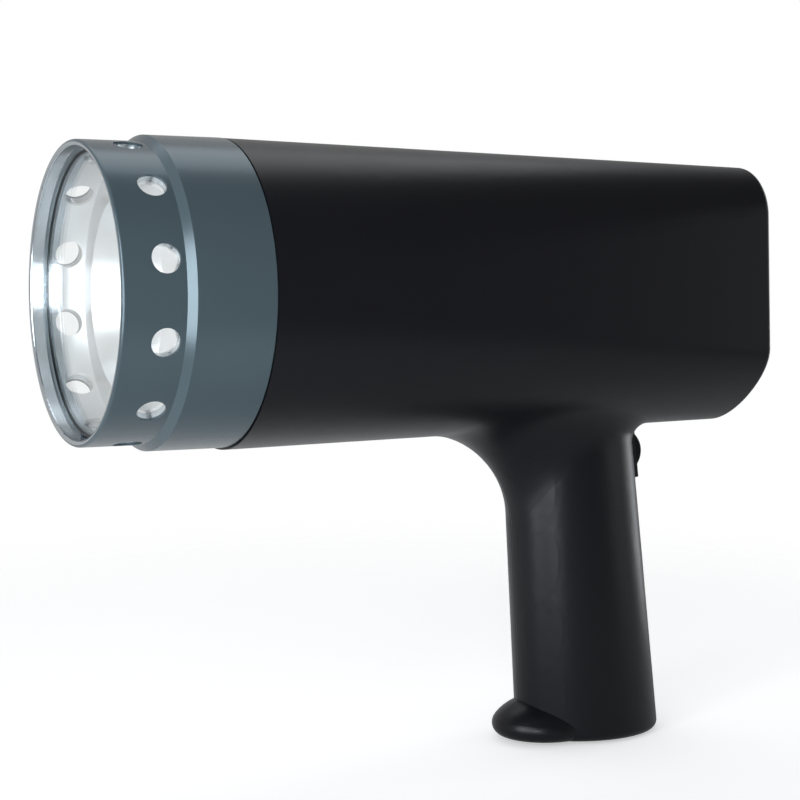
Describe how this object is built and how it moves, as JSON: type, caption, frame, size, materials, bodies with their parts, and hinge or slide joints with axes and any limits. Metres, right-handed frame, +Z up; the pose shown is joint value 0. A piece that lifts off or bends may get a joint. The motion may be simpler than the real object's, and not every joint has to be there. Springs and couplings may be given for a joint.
{
  "type": "xenon stroboscope",
  "caption": "Hand-held xenon stroboscope with a vented metal nose ring, tapered barrel, pistol grip, rear display panel with keys and rate knob, and a thumb rocker switch.",
  "frame": {"origin": "mouth of the tripod bush in the base of the grip", "axes": "+Z up, -X along the beam, out of the lens; +X out of the rear panel; +Y to the side that the clamshell screws enter"},
  "size_m": [0.2497, 0.096, 0.2034],
  "materials": {
    "housing_plastic": "fine-textured moulded ABS, near black",
    "screw_steel": "blackened steel",
    "ring_enamel": "satin blue-grey stoved enamel on turned aluminium",
    "spring_steel": "dark spring steel",
    "lens_clear": "clear toughened glass",
    "seal_rubber": "black rubber",
    "reflector_aluminium": "bright satin pressed aluminium",
    "spacer_plastic": "grey moulded plastic",
    "tube_glass": "clear quartz glass",
    "lamp_ceramic": "white ceramic",
    "board_laminate": "green glass-epoxy laminate",
    "coil_winding": "varnished winding",
    "capacitor_film": "shrink-sleeved film capacitor",
    "ferrite": "ferrite core with taped winding",
    "battery_sleeve": "shrink sleeve",
    "bush_brass": "turned brass",
    "socket_plastic": "black moulded nylon",
    "switch_plastic": "black moulded nylon",
    "rocker_plastic": "semi-gloss black nylon",
    "panel_plastic": "satin charcoal moulded ABS",
    "window_clear": "clear acrylic",
    "lcd_glass": "grey-green liquid-crystal glass",
    "encoder_metal": "turned steel",
    "nut_plated": "nickel-plated brass",
    "knob_plastic": "black moulded ABS",
    "key_rubber": "grey silicone rubber"
  },
  "bodies": {
    "housing": {"housing_left": "housing_plastic", "housing_right": "housing_plastic", "housing_screws": "screw_steel", "nose_ring": "ring_enamel", "lens_clip": "spring_steel", "front_lens": "lens_clear", "lens_seal": "seal_rubber", "reflector": "reflector_aluminium", "reflector_spacer": "spacer_plastic", "flash_tube": "tube_glass", "lamp_base": "lamp_ceramic", "lamp_board": "board_laminate", "trigger_coil": "coil_winding", "power_board": "board_laminate", "storage_capacitors": "capacitor_film", "inverter_transformer": "ferrite", "battery_pack": "battery_sleeve", "base_plate": "housing_plastic", "base_screws": "screw_steel", "tripod_bush": "bush_brass", "charge_socket": "socket_plastic", "switch_frame": "switch_plastic", "rear_panel": "panel_plastic", "panel_screws": "screw_steel", "display_window": "window_clear", "display_module": "lcd_glass", "display_board": "board_laminate", "board_screws": "screw_steel", "key_switches": "switch_plastic", "encoder": "encoder_metal", "encoder_nut": "nut_plated", "jack_nuts": "nut_plated", "trigger_input_jack": "socket_plastic", "trigger_output_jack": "socket_plastic"},
    "rate_knob": {"rate_knob": "knob_plastic", "knob_shaft": "encoder_metal"},
    "power_rocker": {"power_rocker": "rocker_plastic"},
    "key_halve": {"key_halve": "key_rubber"},
    "key_double": {"key_double": "key_rubber"},
    "key_minus": {"key_minus": "key_rubber"},
    "key_plus": {"key_plus": "key_rubber"}
  },
  "joints": [
    {"name": "key_halve_press", "type": "slide", "parent": "housing", "child": "key_halve", "axis": [-0.9981, 0, -0.061], "range_m": [0, 0.0008], "stiffness_N_per_m": 1200},
    {"name": "key_double_press", "type": "slide", "parent": "housing", "child": "key_double", "axis": [-0.9981, 0, -0.061], "range_m": [0, 0.0008], "stiffness_N_per_m": 1200},
    {"name": "key_minus_press", "type": "slide", "parent": "housing", "child": "key_minus", "axis": [-0.9981, 0, -0.061], "range_m": [0, 0.0008], "stiffness_N_per_m": 1200},
    {"name": "key_plus_press", "type": "slide", "parent": "housing", "child": "key_plus", "axis": [-0.9981, 0, -0.061], "range_m": [0, 0.0008], "stiffness_N_per_m": 1200},
    {"name": "rate_knob_turn", "type": "hinge", "parent": "housing", "child": "rate_knob", "pos_m": [0.04733, 0, 0.12987], "axis": [0.9981, 0, 0.061], "continuous": true},
    {"name": "power_rocker_tip", "type": "hinge", "parent": "housing", "child": "power_rocker", "pos_m": [0.01071, 0, 0.09896], "axis": [0, 1, 0], "range_deg": [0, 24]}
  ]
}
